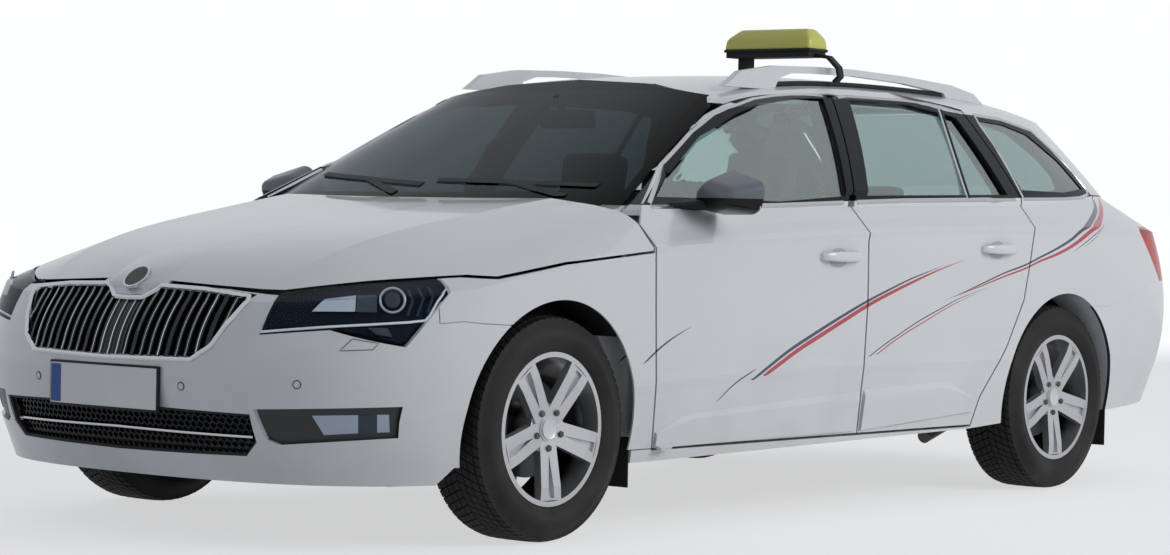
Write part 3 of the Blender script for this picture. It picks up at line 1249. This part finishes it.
def makeMouldings():
    for end in ("front", "rear"):
        skin = skinOf(end + "_door_left")
        top, low = mould["top"][end], mould["low"][end]
        start, stop = min(top)[0], max(top)[0]

        def shape(along, up):
            x = start + (stop - start) * (along + 1) / 2
            share = (up + 1) / 2
            z = heightAt(low, x) + (heightAt(top, x) - heightAt(low, x)) * share
            rise = mould["stand"] * min(1.0, (1 - share) * mould["edge"] + mould["least"])
            spot = onSide(skin, x, z, 1)[0]
            return x, (spot.y if spot else mould["side"]) + rise, z

        bm = shapedSheet(mould["cuts"], shape, mould["wall"], 1)
        white = nodes["front_bumper"].data.materials[0]
        pair("footPanel" + end.capitalize(), bm, "door_" + end, white, 25)


makeMouldings()
print("door fittings done")

# Roof sign, left blank

# Each level's height, and how far its ends, inner and outer sides stand in
sign = {"x": (-0.364, -0.252), "y": (0.164, 0.525), "bevel": 0.010,
        "levels": [(1.5305, 0, 0, 0), (1.5695, 0.004, 0.006, 0.004), (1.603, 0.030, 0.050, 0.030)],
        "base": (0.114, 0.363, 0.011), "baseZ": 1.529}


def makeSign():
    (x0, x1), (y0, y1) = sign["x"], sign["y"]
    points = []
    for z, end, inner, outer in sign["levels"]:
        points += [(x, y, z) for x in (x0 + end, x1 - end) for y in (y0 + inner, y1 - outer)]
    bm = convexPiece(points, sign["bevel"], 3)
    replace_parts(finishPiece("roofSign", bm, "root", signYellow, 40), "taxi_sign")
    seat = Matrix.Translation(((x0 + x1) / 2, (y0 + y1) / 2, sign["baseZ"]))
    bm = roundedBlock(sign["base"], 0.004, 2, seat)
    finishPiece("signBase", bm, "root", blackPlastic, 40)


makeSign()

# Seats: crowned cushions with seams

seatCloth = plainMaterial("seatCloth", (0.040, 0.041, 0.045), 0.85, grainScale=900, grainDepth=0.0006)
seat = {"round": 7, "crown": 0.16, "pull": 0.045, "groove": 0.10, "channel": 0.06, "cuts": 21,
        "post": [(-0.190, 1.02), (-0.165, 0.98)], "posts": (0.320, 0.420), "postRadius": 0.007,
        "base": (0.42, 0.40, 0.06), "baseAt": (0.20, 0.37, 0.30),
        "front": [("Cushion", (0.52, 0.50, 0.15), (0.215, 0.370, 0.405), -4, (-0.55, 0.55)),
                  ("Back", (0.13, 0.48, 0.60), (-0.105, 0.370, 0.735), -14, (-0.55, 0.55)),
                  ("Headrest", (0.10, 0.26, 0.17), (-0.205, 0.370, 1.085), -10, ())],
        "rear": [("Cushion", (0.50, 1.28, 0.16), (-0.460, 0.0, 0.410), -4, (-0.36, 0.36)),
                 ("Back", (0.12, 1.28, 0.52), (-0.745, 0.0, 0.690), -12, (-0.36, 0.36)),
                 ("HeadrestMiddle", (0.07, 0.24, 0.14), (-0.830, 0.0, 1.005), -8, ()),
                 ("HeadrestSide", (0.07, 0.24, 0.14), (-0.830, 0.407, 1.005), -8, ())]}


def cushionForm(size, place, lean, seams):
    bm = bmesh.new()
    bmesh.ops.create_cube(bm, size=2)
    bmesh.ops.subdivide_edges(bm, edges=bm.edges[:], cuts=seat["cuts"], use_grid_fill=True)
    thin = min(range(3), key=lambda k: size[k])
    wide, tall = [k for k in (1, 0, 2) if k != thin]
    for v in bm.verts:
        reach = sum(abs(c) ** seat["round"] for c in v.co) ** (1 / seat["round"])
        spot = v.co / reach
        rise = (1 - spot[wide] ** 2) * (1 - spot[tall] ** 2)
        groove = sum(max(0.0, 1 - abs(spot[wide] - s) / seat["channel"]) for s in seams)
        level = spot[thin] * (1 + seat["crown"] * rise - seat["groove"] * groove)
        spot[wide] *= 1 - seat["pull"] * (1 - spot[tall] ** 2)
        spot[tall] *= 1 - seat["pull"] * (1 - spot[wide] ** 2)
        spot[thin] = level / (1 + seat["crown"])
        v.co = Vector(c * s / 2 for c, s in zip(spot, size))
    bmesh.ops.rotate(bm, cent=(0, 0, 0), matrix=Matrix.Rotation(math.radians(lean), 3, "Y"), verts=bm.verts)
    bmesh.ops.translate(bm, vec=place, verts=bm.verts)
    bmesh.ops.recalc_face_normals(bm, faces=bm.faces)
    return bm


def makeSeats():
    for row, node in (("front", "front_seats"), ("rear", "rear_bench")):
        made = []
        for name, size, place, lean, seams in seat[row]:
            bm = cushionForm(size, place, lean, seams)
            label = row + "Seat" + name
            if place[1]:
                made += pair(label, bm, "root", seatCloth, 60)
            else:
                made.append(finishPiece(label, bm, "root", seatCloth, 60))
        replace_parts(made[0], node)
    for side, sign in sides.items():
        posts = [[(x, sign * y, z) for x, z in seat["post"]] for y in seat["posts"]]
        layStrips("headrestPosts" + side.capitalize(), posts, seat["postRadius"], "root", chrome)
        x, y, z = seat["baseAt"]
        bm = roundedBlock(seat["base"], 0.01, 2, Matrix.Translation((x, sign * y, z)))
        finishPiece("seatBase" + side.capitalize(), bm, "root", softBlack, 40)


makeSeats()

innerMirror = {"size": (0.030, 0.235, 0.062), "bevel": 0.014, "place": (0.395, 0, 1.268), "lean": 12,
               "stem": [(0.405, 0, 1.275), (0.44, 0, 1.315), (0.455, 0, 1.345)], "radius": 0.011}


def makeInnerMirror():
    lean = Matrix.Rotation(math.radians(innerMirror["lean"]), 4, "Y")
    seat = Matrix.Translation(innerMirror["place"]) @ lean
    bm = roundedBlock(innerMirror["size"], innerMirror["bevel"], 3, seat)
    finishPiece("innerMirror", bm, "root", blackPlastic, 40)
    layStrips("innerMirrorStem", [innerMirror["stem"]], innerMirror["radius"], "root", blackPlastic)


makeInnerMirror()
print("cabin done")

bpy.context.scene.view_settings.view_transform = "Standard"
